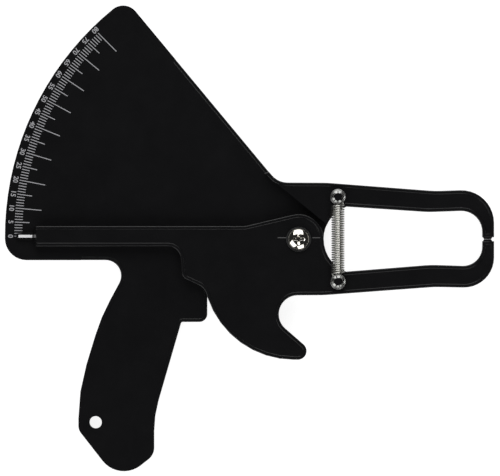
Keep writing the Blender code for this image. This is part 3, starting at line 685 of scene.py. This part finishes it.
def wire_tree(steel):
    """Round wire along a path, with its ends closed."""
    tree, given, result = group(
        "GeometryNodeTree",
        "round_wire",
        (
            ("Geometry", "NodeSocketGeometry", None),
            ("Wire radius", "NodeSocketFloat", WIRE / 2),
            ("Sides", "NodeSocketInt", WIRE_SIDES),
        ),
        (("Geometry", "NodeSocketGeometry"),),
    )
    circle = put(
        tree,
        "GeometryNodeCurvePrimitiveCircle",
        None,
        {"Resolution": given["Sides"], "Radius": given["Wire radius"]},
    )
    tube = put(
        tree,
        "GeometryNodeCurveToMesh",
        None,
        {"Curve": given["Geometry"], "Profile Curve": circle.outputs["Curve"], "Fill Caps": True},
    )
    smooth = put(
        tree,
        "GeometryNodeSetShadeSmooth",
        None,
        {"Geometry": tube.outputs[0], "Shade Smooth": True},
    )
    real = put(tree, "GeometryNodeRealizeInstances", None, {0: smooth.outputs[0]})
    steeled = put(
        tree, "GeometryNodeSetMaterial", None, {"Geometry": real.outputs[0], "Material": steel}
    )
    tree.links.new(steeled.outputs[0], result["Geometry"])
    return tree


def make_spring(look):
    """The extension spring as one wire: hook, coil and hook."""
    coil = coil_path()
    upper = loop_path(UPPER_POST, LOOP_TURN, 0.0) + bend_path(coil[0], UPPER_POST)
    lower = bend_path(coil[-1], LOWER_POST)[::-1]
    lower += loop_path(LOWER_POST, math.pi, math.pi + LOOP_TURN)
    points = upper[:-1] + coil + lower[1:]
    curve = bpy.data.curves.new("extension_spring", "CURVE")
    curve.dimensions = "3D"
    line = curve.splines.new("POLY")
    line.points.add(len(points) - 1)
    for spot, point in zip(line.points, points):
        spot.co = (*point, 1.0)
    spring = linked("extension_spring", curve)
    spring.modifiers.new("wire", "NODES").node_group = wire_tree(look["spring_steel"])
    spring = baked(spring)
    spring.data.materials.clear()
    spring.data.materials.append(look["spring_steel"])
    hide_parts("tension_spring", "spring_lower_hook")
    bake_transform(spring)


# The mouldings


def pad_mesh(node, side):
    """A contact pad, seated on its jaw's end and closed on the other pad."""
    low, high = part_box(node)
    across = (low.x + high.x) / 2
    made = bmesh.new()
    loops = []
    for inset, height in ((0.0, low.z), (0.0, high.z - PAD_ROUND), (PAD_ROUND, high.z)):
        face, shoulder = PAD_FACE_WIDTH / 2 - inset, PAD_SHOULDER_WIDTH / 2 - inset
        seat, contact = PAD_SEAT - inset, PAD_GAP + inset * PAD_FACE_SHARE
        taper = ((-face, contact), (face, contact), (shoulder, seat), (-shoulder, seat))
        spots = [(across + x, PIVOT.y + side * y, height) for x, y in taper]
        loops.append([made.verts.new(spot) for spot in spots])
    made.faces.new(loops[0])
    made.faces.new(loops[-1])
    for lower, upper in zip(loops, loops[1:]):
        for i in range(4):
            made.faces.new((lower[i - 1], lower[i], upper[i], upper[i - 1]))
    return finished(made)


def make_mouldings(look):
    for node, name in (("frame", "frame_moulding"), ("lever", "lever_moulding")):
        dress(refined(node, name), look["black_plastic"], node)
    for node, side, body in (("upper_jaw_pad", 1, "frame"), ("lower_jaw_pad", -1, "lever")):
        tip = linked(node + "_tip", pad_mesh(node, side))
        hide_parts(node)
        dress(tip, look["black_plastic"], body)


def make_centre_lines(look):
    """The raised lines that cross at the screw, as low ridges on the lever."""
    made = bmesh.new()
    for x0, y0, x1, y1 in LINES:
        start = PIVOT + LINE_SHIFT + Vector((x0, y0))
        end = PIVOT + LINE_SHIFT + Vector((x1, y1))
        along = (end - start).normalized()
        aside = Vector((-along.y, along.x)) * LINE_WIDTH / 2
        foot, top = LEVER_FACE - LINE_HEIGHT, LEVER_FACE + LINE_HEIGHT
        loops = []
        for spot in (start, end):
            section = ((spot - aside, foot), (spot + aside, foot), (spot, top))
            loops.append([made.verts.new((*place, height)) for place, height in section])
        made.faces.new(loops[0])
        made.faces.new(loops[1])
        for i in range(3):
            j = (i + 1) % 3
            made.faces.new((loops[0][i], loops[0][j], loops[1][j], loops[1][i]))
    lines = linked("lever_centre_lines", finished(made))
    dress(lines, look["black_plastic"], "lever")


def dress_nodes(look):
    """The pieces whose solids are already right."""
    for node, finish in (
        ("pointer_index", "white_index"),
        ("head_washer", "washer_steel"),
        ("pivot_sleeve", "zinc_steel"),
        ("back_washer", "zinc_steel"),
        ("lock_nut", "zinc_steel"),
        ("thrust_washer", "nylon"),
        ("nut_insert", "nylon"),
    ):
        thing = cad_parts[node]
        thing.data.materials.clear()
        thing.data.materials.append(look[finish])


# The studio


def make_floor():
    made = bmesh.new()
    bmesh.ops.create_grid(made, x_segments=1, y_segments=1, size=FLOOR_SIZE / 2)
    mesh = bpy.data.meshes.new("floor")
    made.to_mesh(mesh)
    made.free()
    floor = linked("floor", mesh)
    floor.location.z = CAD_BOX[0].z - FLOOR_GAP
    pale = bpy.data.materials.new("pale_floor")
    pale.use_nodes = True
    tree = pale.node_tree
    tree.nodes.clear()
    path = put(tree, "ShaderNodeLightPath").outputs
    seen = maths(tree, "MAXIMUM", path["Is Camera Ray"], path["Is Transmission Ray"])
    bright = maths(tree, "MULTIPLY", seen, FLOOR_WHITE)
    bright = maths(tree, "ADD", bright, maths(tree, "MULTIPLY", path["Is Glossy Ray"], FLOOR_GLOSS))
    glow = put(tree, "ShaderNodeEmission", None, {"Strength": bright})
    paint = put(tree, "ShaderNodeBsdfDiffuse", None, {"Color": FLOOR_PAINT})
    both = put(tree, "ShaderNodeAddShader", None, {0: glow.outputs[0], 1: paint.outputs[0]})
    put(tree, "ShaderNodeOutputMaterial", None, {"Surface": both.outputs[0]})
    mesh.materials.append(pale)


def make_world():
    """White to the camera, dim from above to gloss, and an even fill for the rest."""
    world = bpy.data.worlds.new("studio")
    bpy.context.scene.world = world
    world.use_nodes = True
    tree = world.node_tree
    tree.nodes.clear()
    path = put(tree, "ShaderNodeLightPath").outputs
    direction = put(tree, "ShaderNodeTexCoord").outputs["Generated"]
    height = put(tree, "ShaderNodeSeparateXYZ", None, {0: direction}).outputs["Z"]
    gloss = put(
        tree,
        "ShaderNodeMapRange",
        None,
        {
            "Value": height,
            "From Min": 0.0,
            "From Max": ZENITH_HEIGHT,
            "To Min": HORIZON_GLOSS,
            "To Max": ZENITH_GLOSS,
        },
    ).outputs[0]
    seen = maths(tree, "MAXIMUM", path["Is Camera Ray"], path["Is Transmission Ray"])
    glossy = maths(tree, "MULTIPLY", path["Is Glossy Ray"], gloss)
    other = maths(tree, "SUBTRACT", 1.0, maths(tree, "MAXIMUM", seen, path["Is Glossy Ray"]))
    fill = maths(tree, "MULTIPLY", other, FILL)
    strength = maths(tree, "ADD", maths(tree, "ADD", seen, glossy), fill)
    back = put(
        tree, "ShaderNodeBackground", None, {"Color": (1.0, 1.0, 1.0, 1.0), "Strength": strength}
    )
    put(tree, "ShaderNodeOutputWorld", None, {"Surface": back.outputs[0]})


def aimed(direction):
    return direction.to_track_quat("-Z", "Y").to_euler()


def make_lights():
    """Large softboxes round the caliper, with the dark between them."""
    for i, (azimuth, tilt, width, height, radiance) in enumerate(SOFTBOXES):
        lean = math.radians(tilt)
        out = Vector((*polar(math.sin(lean), math.radians(azimuth)), math.cos(lean)))
        lamp = bpy.data.lights.new(f"softbox_{i}", "AREA")
        lamp.shape = "RECTANGLE"
        lamp.size, lamp.size_y = width, height
        lamp.energy = radiance * math.pi * width * height
        box = linked(lamp.name, lamp)
        box.location = CAMERA_CENTRE + out * LIGHT_DISTANCE
        box.rotation_euler = aimed(-out)
        box.visible_camera = False


def make_camera():
    camera = bpy.data.cameras.new("camera")
    camera.lens = CAMERA_LENS
    camera.sensor_width = CAMERA_SENSOR
    camera.clip_end = CAMERA_REACH
    eye = linked("camera", camera)
    distance = FRAME_WIDTH * CAMERA_LENS / CAMERA_SENSOR
    eye.location = CAMERA_CENTRE + Vector((0.0, 0.0, distance + LEVER_FACE))
    bpy.context.scene.camera = eye


def main():
    look = finishes()
    make_mouldings(look)
    make_centre_lines(look)
    make_marks(look)
    make_numerals(look)
    make_screw(look)
    make_push_nuts(look)
    make_spring(look)
    dress_nodes(look)
    make_floor()
    make_world()
    make_lights()
    make_camera()
    bpy.context.scene.view_settings.view_transform = "Standard"


main()
